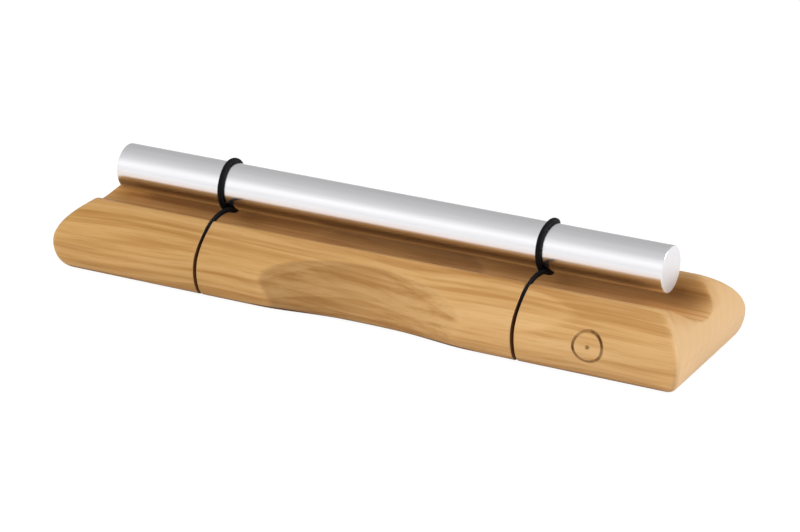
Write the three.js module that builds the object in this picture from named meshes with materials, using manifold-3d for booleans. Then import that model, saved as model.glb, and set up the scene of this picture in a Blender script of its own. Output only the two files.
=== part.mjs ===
// Energy chime: a round tuned bar hung over a hand-sized wooden base by two elastic cord rings.
// Units are millimetres, +Z is up, X runs along the bar, and the base stands on z = 0.
import * as THREE from "three";
import { mergeVertices } from "three/addons/utils/BufferGeometryUtils.js";
import Module from "manifold-3d";

// Bar
const rodLength = 170;
const rodRadius = 6.6;
const rodChamfer = 0.45;

// Base block, rolled over on every side
const baseHalfLength = 98.1;
const baseHalfWidth = 23.8;
const widestZ = 8.4;
const rollWidth = 36.7;
const rollHeight = 17.4;
const footInset = 4.55;
const cornerRadius = 2;

// Trough under the bar
const coveRadius = 11.4;
const coveFloorZ = 14.1;

// Finger scoops on the two long sides
const scoopDepth = 4.7;
const scoopRadius = 116;
const scoopLean = 0.15;
const scoopCentreX = 2;

// Cord rings and the saw kerfs that hold them
const cordWidth = 2;
const cordThickness = 1.3;
const cordPassGap = 0.42;
const kerfX = 49.7;
const kerfWidth = 1.6;
const kerfFootDepth = 3;
const kerfSideDepth = 5;
const kerfCrestDepth = 2.4;
const kerfFootRadius = 4.5;
const kerfShoulderRadius = 10;
const sagRoom = 3.9;
const clearance = 0.3;

// Sizes that follow from the ones above
const squeezedHalfWidth = kerfWidth / 2 - clearance;
const squeezedHalfDepth = cordWidth * 0.55;
const loopRadius = rodRadius + clearance + cordThickness / 2;
const rodAxisZ = coveFloorZ + sagRoom + cordThickness / 2 + loopRadius;
const coveAxisZ = coveFloorZ + coveRadius;
const passShift = (cordWidth + cordPassGap) / 2;

const wasm = await Module();
wasm.setup();

function rollInset(z) {
  const rise = Math.min((z - widestZ) / rollHeight, 1);
  return rollWidth * (1 - Math.sqrt(1 - rise * rise));
}

function footInsetAt(z) {
  const drop = Math.min((widestZ - z) / widestZ, 1);
  return footInset * (1 - Math.sqrt(1 - drop * drop));
}

// Height at which the trough breaks through the rolled top, with its distance from the middle.
function findCrest() {
  let low = 0;
  let high = coveRadius;
  for (let step = 0; step < 60; step += 1) {
    const y = (low + high) / 2;
    const coveZ = coveAxisZ - Math.sqrt(coveRadius ** 2 - y ** 2);
    const inset = rollInset(Math.min(coveZ, widestZ + rollHeight));
    if (baseHalfWidth - inset > y) {
      low = y;
    } else {
      high = y;
    }
  }
  const z = coveAxisZ - Math.sqrt(coveRadius ** 2 - low ** 2);
  return { y: low, z };
}

const crest = findCrest();
const coreTopZ = crest.z - kerfCrestDepth;
const coreHalfWidth = baseHalfWidth - kerfSideDepth;

function toSolid(geometry) {
  const bare = geometry.clone();
  bare.deleteAttribute("normal");
  bare.deleteAttribute("uv");
  const merged = mergeVertices(bare, 1e-4);
  const mesh = new wasm.Mesh({
    numProp: 3,
    vertProperties: new Float32Array(merged.attributes.position.array),
    triVerts: new Uint32Array(merged.index.array),
  });
  mesh.merge();
  return new wasm.Manifold(mesh);
}

function toGeometry(solid) {
  const mesh = solid.getMesh();
  const geometry = new THREE.BufferGeometry();
  geometry.setAttribute("position", new THREE.BufferAttribute(mesh.vertProperties, 3));
  geometry.setIndex(new THREE.BufferAttribute(mesh.triVerts, 1));
  geometry.computeVertexNormals();
  return geometry;
}

function alongX(geometry, startX) {
  const turn = new THREE.Matrix4().makeBasis(
    new THREE.Vector3(0, 1, 0),
    new THREE.Vector3(0, 0, 1),
    new THREE.Vector3(1, 0, 0),
  );
  return geometry.applyMatrix4(turn).translate(startX, 0, 0);
}

// Levels of the rolled side, from the foot to just above the crest, as (inset, height) pairs.
function rolledLevels() {
  const footSteps = 7;
  const rollSteps = 14;
  const levels = [];
  for (let step = 0; step <= footSteps; step += 1) {
    const z = widestZ * (1 - Math.cos((step / footSteps) * Math.PI / 2));
    levels.push({ inset: footInsetAt(z), z });
  }
  const topZ = crest.z + 0.4;
  for (let step = 1; step <= rollSteps; step += 1) {
    const z = widestZ + (topZ - widestZ) * Math.sin((step / rollSteps) * Math.PI / 2);
    levels.push({ inset: rollInset(z), z });
  }
  return levels;
}

// Corner-rounded outline of one level, counter-clockwise from above.
function levelOutline({ inset, z }) {
  const cornerSteps = 6;
  const corners = [[1, 1], [-1, 1], [-1, -1], [1, -1]];
  const points = [];
  corners.forEach(([signX, signY], quarter) => {
    const centreX = signX * (baseHalfLength - inset - cornerRadius);
    const centreY = signY * (baseHalfWidth - inset - cornerRadius);
    for (let step = 0; step <= cornerSteps; step += 1) {
      const angle = (quarter + step / cornerSteps) * Math.PI / 2;
      const x = centreX + cornerRadius * Math.cos(angle);
      const y = centreY + cornerRadius * Math.sin(angle);
      points.push(new THREE.Vector3(x, y, z));
    }
  });
  return points;
}

function makeBlock() {
  const rings = rolledLevels().map(levelOutline);
  const count = rings[0].length;
  const positions = rings.flat().flatMap((point) => [point.x, point.y, point.z]);
  const indices = [];
  for (let level = 0; level + 1 < rings.length; level += 1) {
    for (let index = 0; index < count; index += 1) {
      const a = level * count + index;
      const b = level * count + (index + 1) % count;
      indices.push(a, b, b + count, a, b + count, a + count);
    }
  }
  const last = (rings.length - 1) * count;
  for (let index = 1; index + 1 < count; index += 1) {
    indices.push(0, index + 1, index);
    indices.push(last, last + index, last + index + 1);
  }
  const block = new THREE.BufferGeometry();
  block.setAttribute("position", new THREE.Float32BufferAttribute(positions, 3));
  block.setIndex(indices);
  return toSolid(block);
}

// Outline of the wood left between the kerf walls, with its own foot and shoulder rounding.
function kerfCore() {
  const foot = kerfFootRadius;
  const shoulder = kerfShoulderRadius;
  const shape = new THREE.Shape();
  shape.moveTo(-coreHalfWidth + foot, kerfFootDepth);
  shape.lineTo(coreHalfWidth - foot, kerfFootDepth);
  shape.absarc(coreHalfWidth - foot, kerfFootDepth + foot, foot, -Math.PI / 2, 0, false);
  shape.lineTo(coreHalfWidth, coreTopZ - shoulder);
  shape.absarc(coreHalfWidth - shoulder, coreTopZ - shoulder, shoulder, 0, Math.PI / 2, false);
  shape.lineTo(-coreHalfWidth + shoulder, coreTopZ);
  shape.absarc(-coreHalfWidth + shoulder, coreTopZ - shoulder, shoulder, Math.PI / 2, Math.PI, false);
  shape.lineTo(-coreHalfWidth, kerfFootDepth + foot);
  shape.absarc(-coreHalfWidth + foot, kerfFootDepth + foot, foot, Math.PI, Math.PI * 1.5, false);
  return shape;
}

function makeCove() {
  const cove = new THREE.CylinderGeometry(coveRadius, coveRadius, 2 * baseHalfLength + 10, 72);
  return toSolid(cove.rotateZ(Math.PI / 2).translate(0, 0, coveAxisZ));
}

// Leaning drum with a flared foot, so that the scoop keeps a rounded lower edge.
function makeScoop(side) {
  const profile = [new THREE.Vector2(0, -3), new THREE.Vector2(scoopRadius + footInset, -3)];
  for (let step = 0; step <= 7; step += 1) {
    const z = widestZ * (1 - Math.cos((step / 7) * Math.PI / 2));
    profile.push(new THREE.Vector2(scoopRadius + footInsetAt(z), z));
  }
  profile.push(new THREE.Vector2(scoopRadius, crest.z + 5), new THREE.Vector2(0, crest.z + 5));
  const drum = new THREE.LatheGeometry(profile, 300);
  drum.rotateX(Math.PI / 2);
  drum.translate(0, side * scoopRadius, -widestZ);
  drum.rotateX(side * Math.atan(scoopLean));
  drum.translate(scoopCentreX, side * (baseHalfWidth - scoopDepth), widestZ);
  return toSolid(drum);
}

function makeKerf(x) {
  const slab = new THREE.BoxGeometry(kerfWidth, 2 * baseHalfWidth + 10, crest.z + 20);
  slab.translate(x, 0, crest.z / 2);
  const core = new THREE.ExtrudeGeometry(kerfCore(), {
    depth: kerfWidth + 2,
    bevelEnabled: false,
    curveSegments: 8,
  });
  return toSolid(slab).subtract(toSolid(alongX(core, x - kerfWidth / 2 - 1)));
}

function makeBase() {
  const body = makeBlock()
    .subtract(makeCove())
    .subtract(makeScoop(-1))
    .subtract(makeScoop(1))
    .subtract(makeKerf(-kerfX))
    .subtract(makeKerf(kerfX));
  return toGeometry(body);
}

function makeRod() {
  const half = rodLength / 2;
  const profile = [
    new THREE.Vector2(0, -half),
    new THREE.Vector2(rodRadius - rodChamfer, -half),
    new THREE.Vector2(rodRadius, -half + rodChamfer),
    new THREE.Vector2(rodRadius, half - rodChamfer),
    new THREE.Vector2(rodRadius - rodChamfer, half),
    new THREE.Vector2(0, half),
  ];
  const lathe = new THREE.LatheGeometry(profile, 64);
  lathe.deleteAttribute("normal");
  lathe.deleteAttribute("uv");
  const rod = mergeVertices(lathe, 1e-4);
  rod.rotateZ(-Math.PI / 2);
  rod.computeVertexNormals();
  return rod;
}

// Stations of half a ring, from the middle of the foot kerf, up the front, under the bar and
// round to the top of the loop. Each station is (y, z), a sideways shift and how squeezed it is.
function halfRingStations() {
  const stations = [];
  const put = (y, z, shift, squeeze) => stations.push({ y, z, shift, squeeze });
  const offset = clearance + squeezedHalfDepth;
  const sideY = -(coreHalfWidth + offset);
  const footZ = kerfFootDepth - offset;
  const footBend = kerfFootRadius + offset;
  const footBendY = sideY + footBend;
  const footBendZ = footZ + footBend;
  const shoulderBend = kerfShoulderRadius + offset;
  const shoulderBendY = sideY + shoulderBend;
  const shoulderBendZ = coreTopZ + offset - shoulderBend;
  put(0, footZ, 0, 1);
  put(footBendY / 2, footZ, 0, 1);
  for (let step = 0; step <= 6; step += 1) {
    const angle = (step / 6) * Math.PI / 2;
    put(footBendY - footBend * Math.sin(angle), footBendZ - footBend * Math.cos(angle), 0, 1);
  }
  // The strand leaves the wood at the trough wall and runs straight to the underside of the bar.
  const wallY = -Math.sqrt(coveRadius ** 2 - (coveAxisZ - coreTopZ) ** 2);
  const leaveY = wallY + 0.2;
  const lift = Math.acos(Math.min(Math.max((shoulderBendY - leaveY) / shoulderBend, 0), 1));
  for (let step = 0; step <= 8; step += 1) {
    const angle = (step / 8) * lift;
    const y = shoulderBendY - shoulderBend * Math.cos(angle);
    put(y, shoulderBendZ + shoulderBend * Math.sin(angle), 0, 1);
  }
  const strandZ = stations[stations.length - 1].z;
  if (shoulderBendY < leaveY) {
    put(leaveY, strandZ, 0, 1);
  }
  const drop = rodAxisZ - strandZ;
  const reach = Math.hypot(leaveY, drop);
  const touch = Math.atan2(-drop, leaveY) + Math.acos(loopRadius / reach);
  const touchY = loopRadius * Math.cos(touch);
  const touchZ = rodAxisZ + loopRadius * Math.sin(touch);
  for (let step = 1; step <= 6; step += 1) {
    const part = step / 6;
    const shift = passShift * Math.min(part * 1.6, 1);
    const squeeze = Math.max(0, 1 - part * 2.4);
    put(leaveY + (touchY - leaveY) * part, strandZ + (touchZ - strandZ) * part, shift, squeeze);
  }
  const arcSteps = 20;
  const top = Math.PI / 2;
  const fadeFrom = -Math.PI * 0.25;
  const fadeTo = Math.PI * 0.08;
  for (let step = 1; step <= arcSteps; step += 1) {
    const angle = touch + (top - touch) * (step / arcSteps);
    const fade = 1 - THREE.MathUtils.smoothstep(angle, fadeFrom, fadeTo);
    put(loopRadius * Math.cos(angle), rodAxisZ + loopRadius * Math.sin(angle), passShift * fade, 0);
  }
  return stations;
}

// A whole ring: the half above, then the same half turned about the vertical line through its middle.
function ringStations() {
  const half = halfRingStations();
  const rest = half.slice(1, -1).reverse();
  const turned = rest.map(({ y, z, shift, squeeze }) => ({ y: -y, z, shift: -shift, squeeze }));
  return half.concat(turned);
}

// Least distance between surface points of two passes of one ring.
function leastSelfGap(rings) {
  const nearSteps = 8;
  const count = rings.length;
  let least = Infinity;
  for (let first = 0; first < count; first += 1) {
    for (let second = first + nearSteps; second <= first + count - nearSteps; second += 1) {
      rings[first].forEach((point) => {
        rings[second % count].forEach((other) => {
          least = Math.min(least, point.distanceTo(other));
        });
      });
    }
  }
  return least;
}

function makeCord(x) {
  const stations = ringStations();
  const count = stations.length;
  const sides = 8;
  const rings = [];
  const at = (index) => {
    const { y, z, shift } = stations[(index + count) % count];
    return new THREE.Vector3(x + shift, y, z);
  };
  for (let index = 0; index < count; index += 1) {
    const tangent = at(index + 1).sub(at(index - 1)).normalize();
    const across = new THREE.Vector3(1, 0, 0).addScaledVector(tangent, -tangent.x).normalize();
    const outward = new THREE.Vector3().crossVectors(tangent, across);
    const { squeeze } = stations[index];
    const halfWidth = cordWidth / 2 + (squeezedHalfWidth - cordWidth / 2) * squeeze;
    const halfDepth = cordThickness / 2 + (squeezedHalfDepth - cordThickness / 2) * squeeze;
    const ring = [];
    for (let corner = 0; corner < sides; corner += 1) {
      const angle = ((corner + 0.5) / sides) * Math.PI * 2;
      const point = at(index)
        .addScaledVector(across, halfWidth * Math.cos(angle))
        .addScaledVector(outward, halfDepth * Math.sin(angle));
      ring.push(point);
    }
    rings.push(ring);
  }
  console.log(`cord ring: least gap to itself ${leastSelfGap(rings).toFixed(2)} mm`);
  const indices = [];
  for (let index = 0; index < count; index += 1) {
    const next = (index + 1) % count;
    for (let corner = 0; corner < sides; corner += 1) {
      const beside = (corner + 1) % sides;
      const a = index * sides + corner;
      const b = index * sides + beside;
      const c = next * sides + beside;
      const d = next * sides + corner;
      indices.push(a, b, c, a, c, d);
    }
  }
  const positions = rings.flat().flatMap((point) => [point.x, point.y, point.z]);
  const geometry = new THREE.BufferGeometry();
  geometry.setAttribute("position", new THREE.Float32BufferAttribute(positions, 3));
  geometry.setIndex(indices);
  geometry.computeVertexNormals();
  return geometry;
}

function makePiece(name, geometry, colour, metalness, roughness) {
  const material = new THREE.MeshStandardMaterial({ color: colour, metalness, roughness });
  const mesh = new THREE.Mesh(geometry, material);
  mesh.name = name;
  return mesh;
}

const chime = new THREE.Group();
chime.name = "energy_chime";

const base = makePiece("wooden_base", makeBase(), 0xc99a68, 0, 0.6);
const rod = makePiece("chime_rod", makeRod(), 0xc9cacc, 1, 0.3);
rod.position.set(0, 0, rodAxisZ);
const leftCord = makePiece("left_cord", makeCord(-kerfX), 0x121214, 0, 0.7);
const rightCord = makePiece("right_cord", makeCord(kerfX), 0x121214, 0, 0.7);

chime.add(base, rod, leftCord, rightCord);

export default chime;
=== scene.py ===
import math

import bmesh
import bpy
import numpy as np
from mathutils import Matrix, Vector


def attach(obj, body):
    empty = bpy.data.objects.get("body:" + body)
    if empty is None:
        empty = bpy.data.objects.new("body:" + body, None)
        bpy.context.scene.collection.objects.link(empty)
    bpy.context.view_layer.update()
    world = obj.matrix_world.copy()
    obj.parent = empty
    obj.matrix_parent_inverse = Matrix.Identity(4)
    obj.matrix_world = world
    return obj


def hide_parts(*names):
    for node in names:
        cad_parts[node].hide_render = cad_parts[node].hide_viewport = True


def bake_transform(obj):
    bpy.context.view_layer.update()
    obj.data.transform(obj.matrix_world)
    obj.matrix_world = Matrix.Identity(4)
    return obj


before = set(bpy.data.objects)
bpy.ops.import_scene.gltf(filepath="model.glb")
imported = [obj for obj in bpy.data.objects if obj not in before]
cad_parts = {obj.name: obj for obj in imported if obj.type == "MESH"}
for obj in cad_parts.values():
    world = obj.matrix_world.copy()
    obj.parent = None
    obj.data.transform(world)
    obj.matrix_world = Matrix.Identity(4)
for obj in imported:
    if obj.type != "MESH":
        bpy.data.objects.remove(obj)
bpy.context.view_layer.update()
mm = 0.001
white = (1.0, 1.0, 1.0, 1.0)
scene = bpy.context.scene
scene.view_settings.view_transform = "Standard"
print("frame loaded:", ", ".join(sorted(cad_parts)))


# small helpers for node trees: place a node, set its sockets, wire what is handed in as a socket
def plug(tree, socket, value):
    if isinstance(value, bpy.types.NodeSocket):
        tree.links.new(value, socket)
    else:
        socket.default_value = value


def addNode(tree, kind, sockets=None, **settings):
    node = tree.nodes.new(kind)
    for key, value in settings.items():
        setattr(node, key, value)
    for key, value in (sockets or {}).items():
        plug(tree, node.inputs[key], value)
    return node


def doMath(tree, operation, first, second=0.0, third=0.0, clamp=False):
    sockets = {0: first, 1: second, 2: third}
    return addNode(tree, "ShaderNodeMath", sockets, operation=operation, use_clamp=clamp).outputs[0]


def addUp(tree, total, parts):
    for value, weight in parts:
        total = doMath(tree, "MULTIPLY_ADD", value, weight, total)
    return total


def doVector(tree, operation, first, second=(0.0, 0.0, 0.0)):
    node = addNode(tree, "ShaderNodeVectorMath", {0: first, 1: second}, operation=operation)
    return node.outputs["Value" if operation == "LENGTH" else "Vector"]


def split(tree, vector):
    return addNode(tree, "ShaderNodeSeparateXYZ", {0: vector}).outputs


def mixColour(tree, factor, first, second, blend="MIX"):
    node = addNode(tree, "ShaderNodeMix", data_type="RGBA", blend_type=blend, clamp_factor=True)
    for key, value in (("Factor_Float", factor), ("A_Color", first), ("B_Color", second)):
        plug(tree, next(socket for socket in node.inputs if socket.identifier == key), value)
    return next(socket for socket in node.outputs if socket.identifier == "Result_Color")


def tinted(tree, share, colour, tint):
    return mixColour(tree, share, colour, mixColour(tree, 1.0, colour, tint, "MULTIPLY"))


def mapRange(tree, value, fromLow, fromHigh, toLow=0.0, toHigh=1.0, smooth=False):
    sockets = {"Value": value, 1: fromLow, 2: fromHigh, 3: toLow, 4: toHigh}
    kind = "SMOOTHSTEP" if smooth else "LINEAR"
    return addNode(tree, "ShaderNodeMapRange", sockets, interpolation_type=kind).outputs["Result"]


def noise(tree, vector, scale, detail=2.0, roughness=0.5):
    sockets = {"Vector": vector, "Scale": scale, "Detail": detail, "Roughness": roughness}
    return addNode(tree, "ShaderNodeTexNoise", sockets)


def objectPlace(tree):
    return addNode(tree, "ShaderNodeTexCoord").outputs["Object"]


def painted(tree, name):
    return addNode(tree, "ShaderNodeAttribute", attribute_name=name).outputs["Fac"]


def bumped(tree, height, strength, depth):
    sockets = {"Strength": strength, "Distance": depth, "Height": height}
    return addNode(tree, "ShaderNodeBump", sockets).outputs[0]


# 1 on a face that looks along the length, 0 on one that looks across it
def endFacing(tree):
    normal = addNode(tree, "ShaderNodeNewGeometry").outputs["Normal"]
    return doMath(tree, "ABSOLUTE", split(tree, normal)["X"])


# rays that see the studio itself, straight on, mirrored or through glass
def seeing(tree, path):
    seen = doMath(tree, "MAXIMUM", path.outputs["Is Camera Ray"], path.outputs["Is Glossy Ray"])
    return doMath(tree, "MAXIMUM", seen, path.outputs["Is Transmission Ray"])


def srgb(red, green, blue):
    def straight(level):
        level /= 255
        return level / 12.92 if level <= 0.04045 else ((level + 0.055) / 1.055) ** 2.4

    return (straight(red), straight(green), straight(blue), 1.0)


def newMaterial(name):
    material = bpy.data.materials.new(name)
    material.use_nodes = True
    material.node_tree.nodes.clear()
    tree = material.node_tree
    output = addNode(tree, "ShaderNodeOutputMaterial")
    return material, tree, output


def newGroup(name, inputs, outputs):
    tree = bpy.data.node_groups.new(name, "ShaderNodeTree")
    for label, kind, value in inputs:
        socket = tree.interface.new_socket(label, in_out="INPUT", socket_type=kind)
        if value is not None:
            socket.default_value = value
    for label, kind in outputs:
        tree.interface.new_socket(label, in_out="OUTPUT", socket_type=kind)
    return tree, tree.nodes.new("NodeGroupInput"), tree.nodes.new("NodeGroupOutput")


def placeGroup(tree, group, sockets):
    return addNode(tree, "ShaderNodeGroup", sockets, node_tree=group)


def turnTo(thing, aim):
    toAim = Vector(aim) - thing.location
    thing.rotation_euler = toAim.to_track_quat("-Z", "Y").to_euler()


# camera at the photograph's viewpoint
cameraSet = {
    "location": (0.38021, -0.70962, 0.33785),
    "aim": (0.002706, 0.001025, 0.011104),
    "lens": 139.31,
    "sensor": 36.0,
    "clip": (0.01, 50.0),
}


def makeCamera():
    data = bpy.data.cameras.new("photoCamera")
    data.lens = cameraSet["lens"]
    data.sensor_width = cameraSet["sensor"]
    data.sensor_fit = "HORIZONTAL"
    data.clip_start, data.clip_end = cameraSet["clip"]
    camera = bpy.data.objects.new("photoCamera", data)
    scene.collection.objects.link(camera)
    camera.location = cameraSet["location"]
    turnTo(camera, cameraSet["aim"])
    scene.camera = camera


makeCamera()
print("camera placed")


# studio: a white sweep in front that greys overhead and behind, a soft lamp in front, one beside the right
# end and a weaker one behind. The sweep gives brightness by degrees from the front horizon over the top
studioSet = {
    "sweep": [
        (-30, 0.86), (4, 0.88), (29, 1.30), (48, 0.90), (66, 0.74), (100, 0.60), (145, 0.50), (190, 0.50),
    ],
    "ambient": 0.24,
    "lampAim": (0.0, 0.0, 0.015),
    "lamps": [
        {"name": "frontSoft", "at": (-0.38, -0.84, 0.6), "size": (1.0, 0.4), "power": 8.5, "mirrored": False},
        {"name": "endSoft", "at": (0.86, 0.22, 0.58), "size": (0.4, 0.4), "power": 6.0, "mirrored": True},
        {"name": "backSoft", "at": (-0.2, 0.95, 0.55), "size": (1.0, 0.4), "power": 2.6, "mirrored": False},
    ],
    "floorColour": (0.86, 0.86, 0.86, 1.0),
    "floorShadow": 0.2,
    "floorDull": 0.30,
    "floorWhite": 1.15,  # white once mixed with the matte share
    "floorGlow": (1.0, 0.82, 0.70, 1.0),
    "glowFrom": (0.085, 0.024),
    "glowPast": 6.0,
    "glowReach": 0.16,
    "floorHalf": 4.0,
    "floorZ": -0.0004,
}


def makeWorld():
    world = bpy.data.worlds.new("studio")
    scene.world = world
    world.use_nodes = True
    tree = world.node_tree
    tree.nodes.clear()
    parts = split(tree, addNode(tree, "ShaderNodeTexCoord").outputs["Generated"])
    ahead = doMath(tree, "MULTIPLY", parts["Y"], -1.0)
    turn = doMath(tree, "ARCTAN2", parts["Z"], ahead)  # 0 at the front horizon, a quarter turn overhead
    turn = doMath(tree, "WRAP", turn, math.radians(270), math.radians(-90))
    sweep = studioSet["sweep"]
    first, last = sweep[0][0], sweep[-1][0]
    place = mapRange(tree, turn, math.radians(first), math.radians(last))
    brightest = max(level for angle, level in sweep)
    ramp = addNode(tree, "ShaderNodeValToRGB", {0: place})
    ramp.color_ramp.interpolation = "B_SPLINE"
    while len(ramp.color_ramp.elements) < len(sweep):
        ramp.color_ramp.elements.new(0.5)
    for stop, (angle, level) in zip(ramp.color_ramp.elements, sweep):
        stop.position = (angle - first) / (last - first)
        stop.color = [level / brightest] * 3 + [1.0]
    fill = [studioSet["ambient"] / brightest] * 3 + [1.0]
    seen = seeing(tree, addNode(tree, "ShaderNodeLightPath"))
    light = mixColour(tree, seen, fill, ramp.outputs["Color"])
    background = addNode(tree, "ShaderNodeBackground", {"Color": light, "Strength": brightest})
    output = addNode(tree, "ShaderNodeOutputWorld")
    tree.links.new(background.outputs[0], output.inputs["Surface"])


def makeLamps():
    for lamp in studioSet["lamps"]:
        data = bpy.data.lights.new(lamp["name"], "AREA")
        data.shape = "RECTANGLE"
        data.size, data.size_y = lamp["size"]
        data.energy = lamp["power"]
        light = bpy.data.objects.new(lamp["name"], data)
        scene.collection.objects.link(light)
        light.location = lamp["at"]
        light.visible_glossy = lamp["mirrored"]  # else the bar mirrors the sweep alone
        turnTo(light, studioSet["lampAim"])


def makeFloor():
    s = studioSet
    half = s["floorHalf"]
    corners = [(-half, -half), (half, -half), (half, half), (-half, half)]
    mesh = bpy.data.meshes.new("paleFloor")
    mesh.from_pydata([(x, y, s["floorZ"]) for x, y in corners], [], [(0, 1, 2, 3)])
    floor = bpy.data.objects.new("paleFloor", mesh)
    scene.collection.objects.link(floor)
    material, tree, output = newMaterial("paleFloor")
    matte = addNode(tree, "ShaderNodeBsdfDiffuse", {"Color": s["floorColour"]})
    path = addNode(tree, "ShaderNodeLightPath")

    # painted light: the wood's warm bounce glow, painted on the floor about it, which only the bar shows
    spot = split(tree, objectPlace(tree))
    ahead = doMath(tree, "SUBTRACT", doMath(tree, "ABSOLUTE", spot["Y"]), s["glowFrom"][1])
    past = doMath(tree, "MAXIMUM", doMath(tree, "SUBTRACT", spot["X"], s["glowFrom"][0]), 0.0)
    away = doMath(tree, "MULTIPLY_ADD", past, s["glowPast"], doMath(tree, "MAXIMUM", ahead, 0.0))
    glow = mapRange(tree, away, 0.0, s["glowReach"], 1.0, 0.0, smooth=True)
    glow = doMath(tree, "MULTIPLY", glow, path.outputs["Is Glossy Ray"])
    tint = mixColour(tree, glow, white, s["floorGlow"])
    plain = addNode(tree, "ShaderNodeEmission", {"Color": tint, "Strength": s["floorWhite"]})

    share = doMath(tree, "MULTIPLY", seeing(tree, path), 1 - s["floorShadow"])
    share = doMath(tree, "MULTIPLY_ADD", path.outputs["Is Glossy Ray"], -s["floorDull"], share)
    top = addNode(tree, "ShaderNodeMixShader", {0: share, 1: matte.outputs[0], 2: plain.outputs[0]})
    clear = addNode(tree, "ShaderNodeBsdfTransparent")  # open from below, so the foot can be looked at
    under = addNode(tree, "ShaderNodeNewGeometry").outputs["Backfacing"]
    whole = addNode(tree, "ShaderNodeMixShader", {0: under, 1: top.outputs[0], 2: clear.outputs[0]})
    tree.links.new(whole.outputs[0], output.inputs["Surface"])
    mesh.materials.append(material)


makeWorld()
makeLamps()
makeFloor()
print("studio lit")


# node groups that more than one finish uses
def makeDriftGroup():
    inputs = [
        ("Vector", "NodeSocketVector", None),
        ("Scale", "NodeSocketFloat", 20.0),
        ("Amount", "NodeSocketFloat", 0.1),
    ]
    tree, given, taken = newGroup("toneDrift", inputs, [("Factor", "NodeSocketFloat")])
    cloud = noise(tree, given.outputs["Vector"], given.outputs["Scale"], detail=3.0, roughness=0.55)
    centred = doMath(tree, "MULTIPLY_ADD", cloud.outputs["Fac"], 2.0, -1.0)
    drift = doMath(tree, "MULTIPLY_ADD", centred, given.outputs["Amount"], 1.0)
    tree.links.new(drift, taken.inputs["Factor"])
    return tree


def makeStreakGroup():
    inputs = [
        ("Vector", "NodeSocketVector", None),
        ("Along", "NodeSocketFloat", 20.0),
        ("Across", "NodeSocketFloat", 600.0),
        ("Detail", "NodeSocketFloat", 3.0),
    ]
    tree, given, taken = newGroup("longStreaks", inputs, [("Streak", "NodeSocketFloat")])
    stretch = addNode(tree, "ShaderNodeCombineXYZ", {
        "X": given.outputs["Along"], "Y": given.outputs["Across"], "Z": given.outputs["Across"],
    })
    drawn = doVector(tree, "MULTIPLY", given.outputs["Vector"], stretch.outputs[0])
    lines = noise(tree, drawn, 1.0, given.outputs["Detail"], roughness=0.6)
    spread = mapRange(tree, lines.outputs["Fac"], 0.28, 0.72)
    tree.links.new(spread, taken.inputs["Streak"])
    return tree


def makeWearGroup():
    inputs = [
        ("Edge", "NodeSocketFloat", 0.0),
        ("Vector", "NodeSocketVector", None),
        ("Scale", "NodeSocketFloat", 150.0),
    ]
    tree, given, taken = newGroup("edgeWear", inputs, [("Wear", "NodeSocketFloat")])
    broken = noise(tree, given.outputs["Vector"], given.outputs["Scale"], detail=4.0, roughness=0.65)
    patchy = mapRange(tree, broken.outputs["Fac"], 0.3, 0.65, 0.25, 1.0, smooth=True)
    worn = doMath(tree, "MULTIPLY", given.outputs["Edge"], patchy, clamp=True)
    tree.links.new(worn, taken.inputs["Wear"])
    return tree


toneDrift = makeDriftGroup()
longStreaks = makeStreakGroup()
edgeWear = makeWearGroup()
print("shared node groups built")


def drifting(tree, vector, scale, amount):
    sockets = {"Vector": vector, "Scale": scale, "Amount": amount}
    return placeGroup(tree, toneDrift, sockets).outputs["Factor"]


def streaked(tree, vector, along, across, detail):
    sockets = {"Vector": vector, "Along": along, "Across": across, "Detail": detail}
    return placeGroup(tree, longStreaks, sockets).outputs["Streak"]


def rubbedEdges(tree, vector, scale):
    sockets = {"Edge": painted(tree, "handling"), "Vector": vector, "Scale": scale}
    return placeGroup(tree, edgeWear, sockets).outputs["Wear"]


# mesh helpers: quads between rows of points, a value painted on the points, a smooth piece with sharp edges
def rowFaces(rows, around):
    faces = []
    for row in range(rows - 1):
        first, second = row * around, (row + 1) * around
        for place in range(around):
            beside = (place + 1) % around
            faces.append((first + place, first + beside, second + beside, second + place))
    return faces


def paintPoints(mesh, name, values):
    layer = mesh.attributes.new(name, "FLOAT", "POINT")
    layer.data.foreach_set("value", np.array(values, np.float32))


def makePiece(mesh, sharpAngle, weld=None):
    form = bmesh.new()
    form.from_mesh(mesh)
    if weld:
        bmesh.ops.remove_doubles(form, verts=form.verts, dist=weld)
        bmesh.ops.dissolve_degenerate(form, dist=weld / 2, edges=form.edges)
    bmesh.ops.recalc_face_normals(form, faces=form.faces)
    form.to_mesh(mesh)
    form.free()
    mesh.polygons.foreach_set("use_smooth", np.ones(len(mesh.polygons), bool))
    mesh.set_sharp_from_angle(angle=math.radians(sharpAngle))
    piece = bpy.data.objects.new(mesh.name, mesh)
    scene.collection.objects.link(piece)
    return piece


def eased(part):
    return part * part * (3 - 2 * part)


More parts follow.
